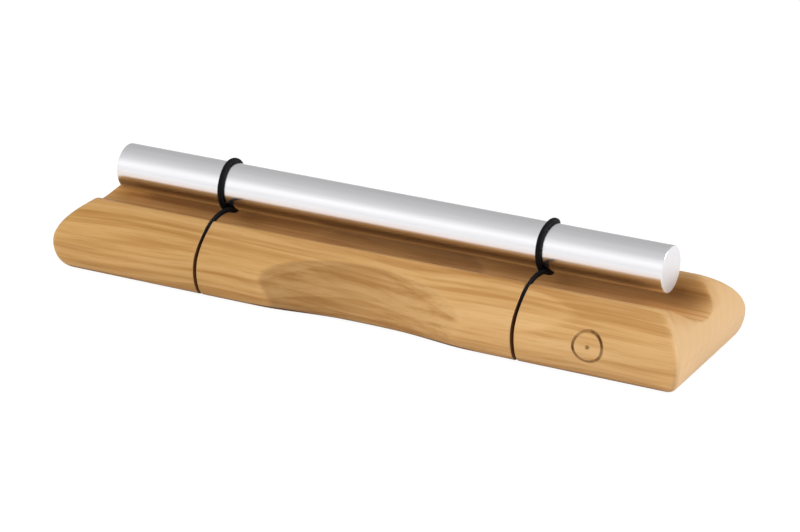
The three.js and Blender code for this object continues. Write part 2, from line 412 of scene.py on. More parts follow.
# wooden base: a block rolled over on every side, troughed along the top and scooped for the fingers, in mm
baseSet = {
    "halfLength": 98.1,
    "halfWidth": 23.8,
    "widestZ": 8.4,
    "rollWidth": 36.7,
    "rollHeight": 17.4,
    "footInset": 4.55,
    "cornerRadius": 1.5,
    "troughRadius": 11.4,
    "troughFloor": 14.1,
    "mouthRadius": 12.4,
    "lipRadius": 10.0,
    "lipTop": 20.3,
    "lipTilt": 26.0,
    "mouthSoft": 0.6,
    "mouthSharp": 0.02,
    "softFrom": 15.2,
    "softOver": 2.5,
    "scoopDepth": 4.1,
    "scoopRadius": 122.0,
    "scoopLean": 0.20,
    "scoopCentre": 2.0,
    "scoopBlend": 0.9,
    "kerfX": 49.7,
    "kerfWidth": 1.1,
    "kerfMouth": 0.2,
    "kerfFootDepth": 3.0,
    "kerfSideDepth": 5.0,
    "kerfCrestDepth": 2.4,
    "kerfFootRadius": 0.3,
    "kerfShoulderRadius": 10.0,
    "kerfFlatFoot": 2.5,
    # painted shade inside the kerfs, fading out across each mouth
    "kerfShadeMouth": 0.8,
    "kerfShadeFade": 6,
    "shoulderZ": 18.6,
    "capShare": 0.97,
    "crestFrom": 15.8,
    "crestTo": 8.0,
    "rollGather": 1.5,
    "points": {
        "foot": 10, "side": 54, "roll": 8, "crest": 32, "trough": 16,
        "heel": 24, "shoulder": 400, "kerfMouth": 5,
    },
    "step": {"end": 2.4, "middle": 0.8},
    "ends": [  # sections this far in from each end
        0.01, 0.05, 0.12, 0.24, 0.42, 0.66, 0.95, 1.3, 1.7, 2.05, 2.4, 2.8, 3.3, 3.9, 4.55, 5.3, 6.1, 7.0,
        8.0, 9.1, 10.2, 11.3, 12.2, 12.8, 13.3, 14.0, 15.0, 16.5, 18.5, 21.0, 24.0,
    ],
    "sharpAngle": 48,
    "weld": 0.0008 * mm,
}


def softMin(first, second, reach):
    near = np.maximum(reach - np.abs(first - second), 0) / reach
    return np.minimum(first, second) - near * near * reach / 4


def quarterRise(part):
    return np.sqrt(np.maximum(1 - (1 - np.clip(part, 0, 1)) ** 2, 0))


def sideInset(z):
    b = baseSet
    rise = np.clip((z - b["widestZ"]) / b["rollHeight"], 0, 1)
    drop = np.clip((b["widestZ"] - z) / b["widestZ"], 0, 1)
    roll = b["rollWidth"] * (1 - np.sqrt(1 - rise**2))
    return roll + b["footInset"] * (1 - np.sqrt(1 - drop**2))


# the finger scoop is a leaning cylinder that flares out below the widest line
def scoopY(x, z):
    b = baseSet
    turn = math.atan(b["scoopLean"])
    radius, off = b["scoopRadius"], x - b["scoopCentre"]
    plain = radius - math.sqrt(radius**2 - off**2)
    level = (z - b["widestZ"] - plain * math.sin(turn)) / math.cos(turn)
    drop = np.clip(-level / b["widestZ"], 0, 1)
    flared = radius + b["footInset"] * (1 - np.sqrt(1 - drop**2))
    out = radius - np.sqrt(flared**2 - off**2)
    return b["halfWidth"] - b["scoopDepth"] + out / math.cos(turn) - b["scoopLean"] * (z - b["widestZ"])


def blockY(x, z):
    b = baseSet
    inset = sideInset(z)
    corner = b["cornerRadius"]
    room = np.clip(b["halfLength"] - abs(x) - inset, 0, corner)
    return b["halfWidth"] - inset - corner + np.sqrt(corner**2 - (corner - room) ** 2)


def sideY(x, z):
    return softMin(blockY(x, z), scoopY(x, z), baseSet["scoopBlend"])


def troughZ(y):
    b = baseSet
    axis = b["troughFloor"] + b["troughRadius"]
    return axis - np.sqrt(np.maximum(b["troughRadius"] ** 2 - y**2, 0))


# the trough with its lip rolled over, then falling away outwards
def lipZ(y):
    b = baseSet
    mouth, lip = b["mouthRadius"], b["lipRadius"]
    reach, axis = mouth + lip, b["troughFloor"] + mouth
    centreY = math.sqrt(reach**2 - (axis - b["lipTop"] + lip) ** 2)
    fromY = centreY * mouth / reach
    tilt = math.radians(b["lipTilt"])
    toY = centreY + lip * math.sin(tilt)
    crown = b["lipTop"] - lip + np.sqrt(np.maximum(lip**2 - (y - centreY) ** 2, 0))
    slope = b["lipTop"] - lip + lip * math.cos(tilt) - (y - toY) * math.tan(tilt)
    bowl = axis - np.sqrt(np.maximum(mouth**2 - y**2, 0))
    return np.where(y < fromY, bowl, np.where(y < toY, crown, slope))


def troughY(z):
    b = baseSet
    axis = b["troughFloor"] + b["troughRadius"]
    return math.sqrt(max(b["troughRadius"] ** 2 - (axis - z) ** 2, 0)) if z > b["troughFloor"] else 0.0


# height at which the plain trough meets the rolled side
def findCrestZ():
    low, high = 0.0, baseSet["troughRadius"]
    for halving in range(60):
        y = (low + high) / 2
        inside = baseSet["halfWidth"] - float(sideInset(troughZ(y))) > y
        low, high = (y, high) if inside else (low, y)
    return float(troughZ(low))


crestZ = findCrestZ()


def runLength(points):
    return np.concatenate([[0.0], np.cumsum(np.linalg.norm(np.diff(points, axis=0), axis=1))])


def resample(points, count):
    run = runLength(points)
    places = np.linspace(0, run[-1], count)
    return np.column_stack([np.interp(places, run, points[:, axis]) for axis in range(2)])


def rollHeight(x, y):
    b = baseSet
    corner = b["cornerRadius"]
    fromEnd = b["halfLength"] - corner - abs(x)
    fromSide = b["halfWidth"] - corner - y
    gap = np.clip(np.abs(fromEnd - fromSide), 0, corner)
    inset = np.minimum(fromEnd, fromSide) + (gap + np.sqrt(2 * corner**2 - gap**2)) / 2
    inset = np.where(np.abs(fromEnd - fromSide) < corner, inset, np.minimum(fromEnd, fromSide) + corner)
    return b["widestZ"] + b["rollHeight"] * quarterRise(inset / b["rollWidth"])


# height of the rolled top over a point, with the trough let in
def topHeight(x, y):
    b = baseSet
    ease = np.clip((b["softFrom"] - y) / b["softOver"], 0, 1)
    return softMin(rollHeight(x, y), lipZ(y), b["mouthSharp"] + b["mouthSoft"] * ease)


# one half of the section at x, from the middle of the foot round to the middle of the trough
def halfSection(x):
    b, n = baseSet, baseSet["points"]
    end = b["halfLength"] - abs(x)
    lowZ = b["widestZ"] * (1 - float(quarterRise(end / b["footInset"])))
    topZ = b["widestZ"] + b["rollHeight"] * float(quarterRise(end / b["rollWidth"]))
    capZ = min(b["shoulderZ"], lowZ + b["capShare"] * (topZ - lowZ))
    footY = float(sideY(x, lowZ))
    foot = np.column_stack([np.linspace(0, footY, n["foot"]), np.full(n["foot"], lowZ)])
    z = lowZ + (capZ - lowZ) * (1 - np.cos(np.pi * np.linspace(0, 1, n["side"]))) / 2
    side = np.column_stack([sideY(x, z), z])
    gathered = np.linspace(0, 1, n["roll"] + 1)[1:] ** b["rollGather"]
    y = np.concatenate([
        side[-1, 0] + (b["crestFrom"] - side[-1, 0]) * gathered,
        np.linspace(b["crestFrom"], b["crestTo"], n["crest"] + 1)[1:],
        np.linspace(b["crestTo"], 0, n["trough"] + 1)[1:],
    ])
    return np.vstack([foot, side, np.column_stack([y, topHeight(x, y)])])


# the wood left between the kerf walls, point for point with halfSection
def coreSection():
    b, n = baseSet, baseSet["points"]
    halfWidth, footZ = b["halfWidth"] - b["kerfSideDepth"], b["kerfFootDepth"]
    topZ = crestZ - b["kerfCrestDepth"]
    low, high = b["kerfFootRadius"], b["kerfShoulderRadius"]
    foot = np.column_stack([np.linspace(0, halfWidth - low, n["foot"]), np.full(n["foot"], footZ)])
    turn = np.linspace(0, math.pi / 2, n["heel"])
    heel = np.column_stack([halfWidth - low + low * np.sin(turn), footZ + low - low * np.cos(turn)])
    lean = np.linspace(0, math.pi / 2, n["shoulder"])
    shoulder = np.column_stack([halfWidth - high + high * np.cos(lean), topZ - high + high * np.sin(lean)])
    shoulder = shoulder[shoulder[:, 1] < topHeight(b["kerfX"], shoulder[:, 0])]
    side = resample(np.vstack([heel, shoulder]), n["side"] + n["roll"])
    over = np.linspace(shoulder[-1, 0], b["crestTo"], n["crest"] + 1)[1:]
    deep = np.linspace(b["crestTo"], 0, n["trough"] + 1)[1:]
    y = np.concatenate([over, deep])
    return np.vstack([foot, side, np.column_stack([y, topHeight(b["kerfX"], y)])])


# eases the section into the wood, to break the sharp edge of a kerf: the trough and the foot stay as they are
def easedSection(x, depth):
    half = halfSection(x)
    around = np.gradient(half, axis=0)
    length = np.maximum(np.hypot(around[:, 0], around[:, 1]), 1e-9)
    inward = np.column_stack([-around[:, 1], around[:, 0]]) / length[:, None]
    share = np.ones(len(half))
    trough, fade = baseSet["points"]["trough"] + 1, 4
    share[-trough:] = 0
    share[-trough - fade:-trough] = np.linspace(1, 0, fade + 1)[:-1]
    share *= np.clip((half[:, 1] - half[0, 1]) / baseSet["kerfFlatFoot"], 0, 1)
    inside = half + inward * (depth * share)[:, None]
    inside[0, 0], inside[-1, 0] = 0, 0
    return inside


# sections from the left end to the right, each with how much painted shade it gets inside a kerf
def baseStations():
    b = baseSet
    half, mouth, step = b["kerfWidth"] / 2, b["kerfMouth"], b["step"]
    core = coreSection()
    stations = [(-b["halfLength"] + end, halfSection(-b["halfLength"] + end), 0.0) for end in b["ends"]]

    def span(fromX, toX, every):
        count = max(int(round((toX - fromX) / every)), 1)
        for x in np.linspace(fromX, toX, count + 1)[1:-1]:
            stations.append((x, halfSection(x), 0.0))

    def kerfMouth(x, side, turn):
        at = x + side * (half + mouth - mouth * math.sin(turn))
        kerfShade = b["kerfShadeMouth"] * math.sin(turn) ** b["kerfShadeFade"]
        stations.append((at, easedSection(at, mouth * (1 - math.cos(turn))), kerfShade))

    def kerf(x):
        turns = np.linspace(0, math.pi / 2, b["points"]["kerfMouth"])
        for turn in turns:
            kerfMouth(x, -1, turn)
        stations.append((x - half, core, 1.0))
        stations.append((x + half, core, 1.0))
        for turn in turns[::-1]:
            kerfMouth(x, 1, turn)

    kerfIn, kerfOut = b["kerfX"] - half - mouth, b["kerfX"] + half + mouth
    endX = b["halfLength"] - b["ends"][-1]
    span(-endX, -kerfOut, step["end"])
    kerf(-b["kerfX"])
    span(-kerfIn, kerfIn, step["middle"])
    kerf(b["kerfX"])
    span(kerfOut, endX, step["end"])
    stations += [(b["halfLength"] - end, halfSection(b["halfLength"] - end), 0.0) for end in b["ends"][::-1]]
    return stations


# where the wood is rubbed and soaked, and where shade is painted into it, set on the points of the mesh, in
# mm
shadeSet = {
    "crest": {"y": 15.0, "over": 2.5, "share": 0.3},
    "corner": {"near": 0.6, "over": 1.2},
    "rim": {"over": 0.9, "share": 0.5},
    # the soaked scoop, with painted shade on one half
    "cut": {"from": -0.05, "over": 0.5, "span": 26.0, "least": 0.35},
    "onTop": 10.0,
    # painted shade in the trough and its lip
    "troughShade": {"inner": 9.8, "back": 14.2, "front": 18.2, "less": 3.0, "lessFrom": 42.0, "lessOver": 26.0},
    "troughShadeEnd": 6.0,
    # painted shade under the bar
    "deep": {"least": 0.15, "from": 4.5, "outer": 10.5, "fade": 4.0},
    "underBarShadeLeft": {"share": 0.6, "from": -40.0, "over": 100.0},
    "underBarShadePast": {"share": 0.6, "from": 80.0, "over": 8.0},
}


# how much handling an edge gets: crest, corners and scoop rims
def handled(x, half):
    b, crest, corner, rim = baseSet, shadeSet["crest"], shadeSet["corner"], shadeSet["rim"]
    y, z = half[:, 0], half[:, 1]
    onCrest = crest["share"] * np.exp(-((y - crest["y"]) / crest["over"]) ** 2) * (z > b["shoulderZ"] - 1)
    room = b["halfLength"] - abs(x) - sideInset(z)
    onSide = y > blockY(x, z) - corner["near"]
    onCorner = np.where(onSide, np.exp(-np.maximum(room, 0) / corner["over"]), 0)
    onRim = np.exp(-((blockY(x, z) - scoopY(x, z)) / rim["over"]) ** 2) * rim["share"]
    return np.clip(np.maximum(np.maximum(onCrest, onCorner), onRim), 0, 1)


# where the scoop cuts across the fibres and the oil sinks in, with painted shade growing towards one half
def scoopSoakAndShade(x, half, side):
    c, z = shadeSet["cut"], half[:, 1]
    depth = np.where(z < baseSet["shoulderZ"], blockY(x, z) - scoopY(x, z), -1.0)
    into = np.clip((depth - c["from"]) / c["over"], 0, 1)
    along = np.clip((side * (x - baseSet["scoopCentre"]) + c["span"]) / (2 * c["span"]), 0, 1)
    return eased(into) * (c["least"] + (1 - c["least"]) * along)


# painted shade on the trough and, fading outwards, its lip: further out at the front, less so towards the
# right end
def paintTroughShade(x, half, side):
    h = shadeSet["troughShade"]
    y, z = half[:, 0], half[:, 1]
    left = np.clip((float(rollHeight(x, 0.0)) - baseSet["troughFloor"]) / shadeSet["troughShadeEnd"], 0, 1)
    front = h["front"] - h["less"] * np.clip((x - h["lessFrom"]) / h["lessOver"], 0, 1)
    outer = h["back"] if side > 0 else front
    inward = np.clip((outer - y) / (outer - h["inner"]), 0, 1) * (z > shadeSet["onTop"])
    return eased(inward) * left


# painted shade on both flanks of the trough's floor, under the bar: less at the left and, in front,
# past the bar's ends
def paintUnderBarShade(x, half, side):
    d, left, past = shadeSet["deep"], shadeSet["underBarShadeLeft"], shadeSet["underBarShadePast"]
    y, z = half[:, 0], half[:, 1]
    outward = np.clip(y / d["from"], 0, 1)
    inward = np.clip((d["outer"] - y) / d["fade"], 0, 1) * (z > shadeSet["onTop"])
    flank = (d["least"] + (1 - d["least"]) * eased(outward)) * eased(inward)
    along = left["share"] + (1 - left["share"]) * np.clip((x - left["from"]) / left["over"], 0, 1)
    beyond = 0.0 if side > 0 else past["share"] * np.clip((abs(x) - past["from"]) / past["over"], 0, 1)
    return flank * along * (1 - beyond)


# painted shade inside a kerf, on the foot, side and roll but not over the top
def paintKerfShade(half, kerfShade):
    n = baseSet["points"]
    share = np.full(len(half), kerfShade)
    share[n["foot"] + n["side"] + n["roll"]:] = 0
    return share


def makeBase():
    stations = baseStations()
    points = []
    # handling, the soaked scoop with painted shade, and painted shade in the trough, under the bar and in the
    # kerfs
    shades = {"handling": [], "scoopSoakAndShade": [], "troughShade": [], "deep": [], "kerfShade": []}
    for x, half, kerfShade in stations:
        front = half[-2:0:-1] * (-1, 1)
        both = {
            "handling": (handled(x, half), handled(x, half)),
            "scoopSoakAndShade": (scoopSoakAndShade(x, half, 1), scoopSoakAndShade(x, half, -1)),
            "troughShade": (paintTroughShade(x, half, 1), paintTroughShade(x, half, -1)),
            "deep": (paintUnderBarShade(x, half, 1), paintUnderBarShade(x, half, -1)),
            "kerfShade": (paintKerfShade(half, kerfShade), paintKerfShade(half, kerfShade)),
        }
        for name, (back, fore) in both.items():
            shades[name] += list(np.concatenate([back, fore[-2:0:-1]]))
        points += [(x * mm, y * mm, z * mm) for y, z in np.vstack([half, front])]
    around = len(points) // len(stations)
    faces = rowFaces(len(stations), around)
    faces.append(tuple(range(around)))
    faces.append(tuple(range(len(points) - around, len(points)))[::-1])
    mesh = bpy.data.meshes.new("woodenBase")
    mesh.from_pydata(points, [], faces)
    for name, shade in shades.items():
        paintPoints(mesh, name, shade)
    return makePiece(mesh, baseSet["sharpAngle"], baseSet["weld"])


# oiled wood: growth rings about a far heart, long fibres, short pores, a burnt ring-and-dot ornament
woodSet = {
    "pale": srgb(222, 179, 123),
    "mid": srgb(211, 165, 106),
    "dark": srgb(186, 136, 78),
    "waver": (9.0, 26.0, 26.0),
    "waverBy": (0.0, 0.011, 0.011),
    "heart": (0.105, -0.085),
    "slope": 0.035,
    "ringWidth": 0.0034,
    "lateWood": (0.25, 0.93),
    "fibre": (9.0, 640.0, 4.0),
    "broad": (4.0, 170.0, 2.0),
    "pores": (120.0, 2400.0, 1.0),
    "poreRange": (0.72, 0.98),
    "poreShare": 0.25,
    "tone": {"ring": 0.18, "fibre": 0.60, "broad": 0.36},
    "contrast": 1.45,
    "toMid": (0.12, 0.62),
    "toDark": (0.52, 1.0),
    "drift": (26.0, 0.10),
    # painted shade towards the left of the board
    "leftShadeRange": (-98.0 * mm, 98.0 * mm),
    "leftShade": (0.84, 0.81, 0.70, 1.0),
    "endRange": (0.35, 0.8),
    "endLevel": 0.3,
    "endRings": 0.55,
    # painted sheen on the end faces
    "endSheen": srgb(240, 204, 160),
    "endSheenShare": 0.42,
    "wearScale": 170.0,
    "wearShare": 0.30,
    # the soaked scoop, with painted shade on one half
    "soakAndShade": 0.36,
    "soakAndShadeTint": (0.30, 0.24, 0.18, 1.0),
    # painted shade in the trough
    "troughShade": (0.84, 0.71, 0.55, 1.0),
    # painted shade under the bar
    "deep": (0.56, 0.52, 0.46, 1.0),
    # painted shade inside the kerfs
    "kerfShade": srgb(112, 62, 16),
    # painted contact shadow along the foot edge
    "footShade": srgb(58, 36, 18),
    "footShadeRange": (0.3 * mm, 1.6 * mm),
    "footShadeShare": 0.7,
    "burnt": srgb(92, 60, 26),
    "burntPatches": 260.0,
    "burntRange": (0.35, 0.6),
    "burntLeast": 0.5,
    "sign": (71.83 * mm, 0.0, 9.87 * mm),
    "signSquash": (1.0, 0.0, 1.05),
    "signRadius": 4.25 * mm,
    "signLine": 0.42 * mm,
    "signDot": 0.62 * mm,
    "signSoft": (0.55, 1.35),
    "signRagged": 0.12 * mm,
    "signGrain": 1500.0,
    "signFront": (-16.0 * mm, -14.0 * mm),
    "rough": (0.44, 0.58),
    "wornRough": -0.08,
    "burntRough": 0.2,
    "relief": {"fibre": -0.5, "pore": -0.9, "ring": -0.3, "burn": -3.0},
    "bump": 0.35,
    "bumpDepth": 0.06 * mm,
}


# the ornament burnt into the front, near the right end: 1 in its line and dot
def burntSign(tree, place):
    w = woodSet
    ragged = noise(tree, place, w["signGrain"], detail=3.0, roughness=0.6).outputs["Fac"]
    away = doVector(tree, "MULTIPLY", doVector(tree, "SUBTRACT", place, w["sign"]), w["signSquash"])
    flat = doVector(tree, "LENGTH", away)
    flat = doMath(tree, "MULTIPLY_ADD", doMath(tree, "SUBTRACT", ragged, 0.5), w["signRagged"], flat)
    fromLine = doMath(tree, "ABSOLUTE", doMath(tree, "SUBTRACT", flat, w["signRadius"]))
    low, high = w["signSoft"]
    line = mapRange(tree, fromLine, w["signLine"] * low, w["signLine"] * high, 1.0, 0.0, smooth=True)
    dot = mapRange(tree, flat, w["signDot"] * low, w["signDot"] * high, 1.0, 0.0, smooth=True)
    front = mapRange(tree, split(tree, place)["Y"], *w["signFront"], 1.0, 0.0)
    return doMath(tree, "MULTIPLY", doMath(tree, "MAXIMUM", line, dot), front)


def makeWood():
    w = woodSet
    material, tree, output = newMaterial("oiledWood")
    place = objectPlace(tree)
    spot = split(tree, place)

    # slow waver of the whole figure
    waver = noise(tree, doVector(tree, "MULTIPLY", place, w["waver"]), 1.0).outputs["Color"]
    push = doVector(tree, "MULTIPLY", doVector(tree, "SUBTRACT", waver, (0.5, 0.5, 0.5)), w["waverBy"])
    bent = doVector(tree, "ADD", place, push)

    # growth rings
    parts = split(tree, bent)
    ringY = doMath(tree, "MULTIPLY_ADD", parts["X"], w["slope"], parts["Y"])
    ringY = doMath(tree, "SUBTRACT", ringY, w["heart"][0])
    ringZ = doMath(tree, "SUBTRACT", parts["Z"], w["heart"][1])
    squares = doMath(tree, "ADD", doMath(tree, "POWER", ringY, 2.0), doMath(tree, "POWER", ringZ, 2.0))
    reach = doMath(tree, "SQRT", squares)
    turn = doMath(tree, "FRACT", doMath(tree, "DIVIDE", reach, w["ringWidth"]))
    late = mapRange(tree, turn, *w["lateWood"], smooth=True)
    drop = mapRange(tree, turn, w["lateWood"][1], 1.0, 1.0, 0.0)
    ring = doMath(tree, "MULTIPLY", late, drop)

    fibre = streaked(tree, bent, *w["fibre"])
    broad = streaked(tree, bent, *w["broad"])
    pore = mapRange(tree, streaked(tree, bent, *w["pores"]), *w["poreRange"], smooth=True)

    # on the sawn-off ends the fibres are met end on: only faint rings are left
    endOn = mapRange(tree, endFacing(tree), *w["endRange"], smooth=True)
    alongside = doMath(tree, "SUBTRACT", 1.0, endOn)
    level = w["endLevel"]
    fibre = doMath(tree, "MULTIPLY_ADD", doMath(tree, "SUBTRACT", fibre, level), alongside, level)
    broad = doMath(tree, "MULTIPLY_ADD", doMath(tree, "SUBTRACT", broad, level), alongside, level)
    pore = doMath(tree, "MULTIPLY", pore, alongside)
    ring = doMath(tree, "MULTIPLY", ring, mapRange(tree, endOn, 0.0, 1.0, 1.0, w["endRings"]))

    share = w["tone"]
    tone = addUp(tree, 0.0, [(ring, share["ring"]), (fibre, share["fibre"]), (broad, share["broad"])])
    tone = doMath(tree, "MULTIPLY_ADD", tone, w["contrast"], 0.5 - 0.5 * w["contrast"])
    colour = mixColour(tree, mapRange(tree, tone, *w["toMid"]), w["pale"], w["mid"])
    colour = mixColour(tree, mapRange(tree, tone, *w["toDark"]), colour, w["dark"])
    colour = mixColour(tree, doMath(tree, "MULTIPLY", pore, w["poreShare"]), colour, w["dark"])
    drift = drifting(tree, place, *w["drift"])
    grey = addNode(tree, "ShaderNodeCombineColor", {0: drift, 1: drift, 2: drift}).outputs[0]
    colour = mixColour(tree, 1.0, colour, grey, "MULTIPLY")

    # painted shade: the left of the board is a little darker, as the light falls off towards it
    sideways = mapRange(tree, spot["X"], *w["leftShadeRange"], smooth=True)
    colour = mixColour(tree, 1.0, colour, mixColour(tree, sideways, w["leftShade"], white), "MULTIPLY")
    # painted light: the end faces are painted paler, a painted sheen for the light on them
    colour = mixColour(tree, doMath(tree, "MULTIPLY", endOn, w["endSheenShare"]), colour, w["endSheen"])

    # edges rubbed paler by the hand
    worn = rubbedEdges(tree, place, w["wearScale"])
    colour = mixColour(tree, doMath(tree, "MULTIPLY", worn, w["wearShare"]), colour, w["pale"])

    # darker where the scoop cuts across the fibres: soaked wood, with painted shade on one half
    soakAndShadeMix = doMath(tree, "MULTIPLY", painted(tree, "scoopSoakAndShade"), w["soakAndShade"])
    colour = tinted(tree, soakAndShadeMix, colour, w["soakAndShadeTint"])

    # painted shade in the trough, under the bar, in the kerfs and along the foot edge
    troughShade = painted(tree, "troughShade")
    colour = tinted(tree, troughShade, colour, w["troughShade"])
    colour = tinted(tree, doMath(tree, "MULTIPLY", painted(tree, "deep"), troughShade), colour, w["deep"])
    colour = mixColour(tree, painted(tree, "kerfShade"), colour, w["kerfShade"])
    # painted contact shadow, darker towards the foot edge
    footShade = mapRange(tree, spot["Z"], *w["footShadeRange"], w["footShadeShare"], 0.0, smooth=True)
    colour = mixColour(tree, footShade, colour, w["footShade"])

    burn = burntSign(tree, place)
    patches = noise(tree, place, w["burntPatches"], detail=3.0).outputs["Fac"]
    uneven = mapRange(tree, patches, *w["burntRange"], w["burntLeast"], 1.0)
    colour = mixColour(tree, doMath(tree, "MULTIPLY", burn, uneven), colour, w["burnt"])

    rough = mapRange(tree, tone, 0.0, 1.0, *w["rough"])
    rough = addUp(tree, rough, [(worn, w["wornRough"]), (burn, w["burntRough"])])
    deep = w["relief"]
    relief = addUp(tree, 0.0, [
        (fibre, deep["fibre"]), (pore, deep["pore"]), (ring, deep["ring"]), (burn, deep["burn"]),
    ])
    normal = bumped(tree, relief, w["bump"], w["bumpDepth"])
    finish = addNode(tree, "ShaderNodeBsdfPrincipled", {
        "Base Color": colour, "Roughness": rough, "Normal": normal,
        "IOR": 1.48, "Specular IOR Level": 0.3,
    })
    tree.links.new(finish.outputs[0], output.inputs["Surface"])
    return material


base = makeBase()
base.data.materials.append(makeWood())
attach(base, "base")
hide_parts("wooden_base")
print("wooden base:", len(base.data.polygons), "faces")


# tuned bar: drawn round aluminium, faced and eased at both ends, in mm
barSet = {
    "centreX": -0.4,
    "halfLength": 85.6,
    "radius": 6.6,
    "ease": 0.3,
    "axisZ": 26.2,
    "around": 144,
    "faceRadii": (0.02, 0.8, 1.8, 2.8, 3.8, 4.8, 5.5),
    "easePoints": 7,
    "firstRow": 1.2,
    "rows": 57,
    "rubReach": 0.7,
    "rubDepth": 0.5,
    "sharpAngle": 40,
    "colour": (0.89, 0.882, 0.905, 1.0),
    "smudge": (0.80, 0.80, 0.81, 1.0),
    "smudgeShare": 0.35,
    "drawn": (9.0, 2600.0, 3.0),
    "faint": (30.0, 900.0, 2.0),
    "drift": (60.0, 0.12),
    "wearScale": 400.0,
    "facedRange": (0.9, 0.98),
    "turnedPitch": 0.28 * mm,
    "turnedDepth": 0.6,
    "rough": (0.20, 0.25),
    "facedRough": 0.26,
    "wornRough": 0.08,
    "bump": 0.02,
    "bumpDepth": 0.01 * mm,
}


def makeBar():
    b = barSet
    half, radius, ease, count = b["halfLength"], b["radius"], b["ease"], b["around"]
    end = [(half, r) for r in (*b["faceRadii"], radius - ease)]
    for turn in np.linspace(0, math.pi / 2, b["easePoints"])[1:]:
        end.append((half - ease + ease * math.cos(turn), radius - ease + ease * math.sin(turn)))
    firstX = half - ease - b["firstRow"]
    profile = end + [(x, radius) for x in np.linspace(firstX, -firstX, b["rows"])]
    profile += [(-x, r) for x, r in end[::-1]]
    points, wear = [], []
    for x, r in profile:
        fromEnd, fromRim = (half - abs(x)) / b["rubReach"], (radius - r) / b["rubDepth"]
        rub = math.exp(-fromEnd**2) * math.exp(-fromRim**2)
        for step in range(count):
            turn = 2 * math.pi * step / count
            y, z = r * math.cos(turn), b["axisZ"] + r * math.sin(turn)
            points.append(((b["centreX"] + x) * mm, y * mm, z * mm))
            wear.append(rub)
    faces = rowFaces(len(profile), count)
    faces.append(tuple(range(count))[::-1])
    faces.append(tuple(range(len(points) - count, len(points))))
    mesh = bpy.data.meshes.new("chimeBar")
    mesh.from_pydata(points, [], faces)
    paintPoints(mesh, "handling", wear)
    return makePiece(mesh, b["sharpAngle"])


def makeAluminium():
    b = barSet
    material, tree, output = newMaterial("drawnAluminium")
    place = objectPlace(tree)
    drawn = streaked(tree, place, *b["drawn"])
    faint = streaked(tree, place, *b["faint"])
    drift = drifting(tree, place, *b["drift"])
    worn = rubbedEdges(tree, place, b["wearScale"])
    colour = mixColour(tree, doMath(tree, "MULTIPLY", faint, b["smudgeShare"]), b["colour"], b["smudge"])

    # turning marks, only on the two faced ends
    faced = mapRange(tree, endFacing(tree), *b["facedRange"])
    spoke = doVector(tree, "SUBTRACT", place, (0.0, 0.0, b["axisZ"] * mm))
    spoke = doVector(tree, "LENGTH", doVector(tree, "MULTIPLY", spoke, (0.0, 1.0, 1.0)))
    rings = doMath(tree, "SINE", doMath(tree, "MULTIPLY", spoke, 2 * math.pi / b["turnedPitch"]))
    turned = doMath(tree, "MULTIPLY", rings, faced)

    rough = doMath(tree, "MULTIPLY", mapRange(tree, drawn, 0.0, 1.0, *b["rough"]), drift)
    rough = addUp(tree, rough, [(faced, b["facedRough"]), (worn, b["wornRough"])])
    relief = addUp(tree, drawn, [(turned, b["turnedDepth"])])
    normal = bumped(tree, relief, b["bump"], b["bumpDepth"])
    finish = addNode(tree, "ShaderNodeBsdfPrincipled", {
        "Base Color": colour, "Metallic": 1.0, "Roughness": rough, "Normal": normal,
    })
    tree.links.new(finish.outputs[0], output.inputs["Surface"])
    return material


bar = makeBar()
bar.data.materials.append(makeAluminium())
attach(bar, "rod")
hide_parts("chime_rod")
print("bar:", len(bar.data.polygons), "faces")


# elastic cord rings: legs held in the kerfs, then two passes under the bar that close over its top, in mm
# and degrees
cordSet = {
    "width": 1.52,
    "thickness": 1.3,
    "loopShift": {"left": -1.15, "right": -0.5},
    "topShift": {"left": -1.6, "right": -0.1},
    "rise": {"near": (5.0, 64.0), "far": (27.0, 90.0)},
    "farShift": {"left": -1.9, "right": -1.5},
    "sideBySide": 1.6,
    "spread": 1.35,
    "flatten": 0.06,
    "fadeFrom": -118.0,
    "fadeTo": -40.0,
    "meetAngle": -133.0,
    "meetShift": 0.35,
    "slideAngle": 40.0,
    "overlap": 3.0,
    "seat": 0.4,
    "seatFade": 3.0,
    "soften": 8,
    "kerfHalfWidth": 0.5,
    "kerfHalfDepth": 0.95,
    "kerfOffset": 1.5,
    "leaveBy": 0.2,
    "footBend": 1.1,
    "footZ": 0.98,
    "released": 0.7,
    "releaseRows": 20,
    "letGo": 2.2,
    "freeY": 5.0,
    "blendZ": 21.0,
    "snugGap": 0.03,
    "points": {"foot": 40, "bend": 24, "side": 40, "strand": 60, "loop": 240},
    "step": 0.2,
    "around": 28,
    "sharpAngle": 60,
    "plaits": 8,
    "plaitLength": 1.5,
    "plaitHeight": 0.045,
    "black": srgb(5, 5, 8),
    "dusty": srgb(18, 18, 22),
    "dustShare": 0.30,
    "threads": (60.0, 40.0, 1.0),
    "drift": (300.0, 0.25),
    "streak": (3.0, 40.0, 2.0),
    "rough": (0.48, 0.66),
    "bump": 0.4,
    "bumpDepth": 0.03 * mm,
}


# y and z from the middle of the foot, in the front of the kerf, up to where the cord comes out at the trough
def legRoute():
    b, c, n = baseSet, cordSet, cordSet["points"]
    offset, footZ = c["kerfOffset"], c["footZ"]
    sideAt = -(b["halfWidth"] - b["kerfSideDepth"] + offset)
    low, high = c["footBend"], b["kerfShoulderRadius"] + offset
    kerfTop = crestZ - b["kerfCrestDepth"]
    leaveY = -troughY(kerfTop) + c["leaveBy"]
    route = [(y, footZ) for y in np.linspace(0, sideAt + low, n["foot"])]
    for turn in np.linspace(0, math.pi / 2, n["bend"])[1:]:
        route.append((sideAt + low - low * math.sin(turn), footZ + low - low * math.cos(turn)))
    lift = math.acos(min(max((sideAt + high - leaveY) / high, 0), 1))
    for turn in np.linspace(0, lift, n["side"]):
        route.append((sideAt + high - high * math.cos(turn), kerfTop + offset - high + high * math.sin(turn)))
    return np.array(route)


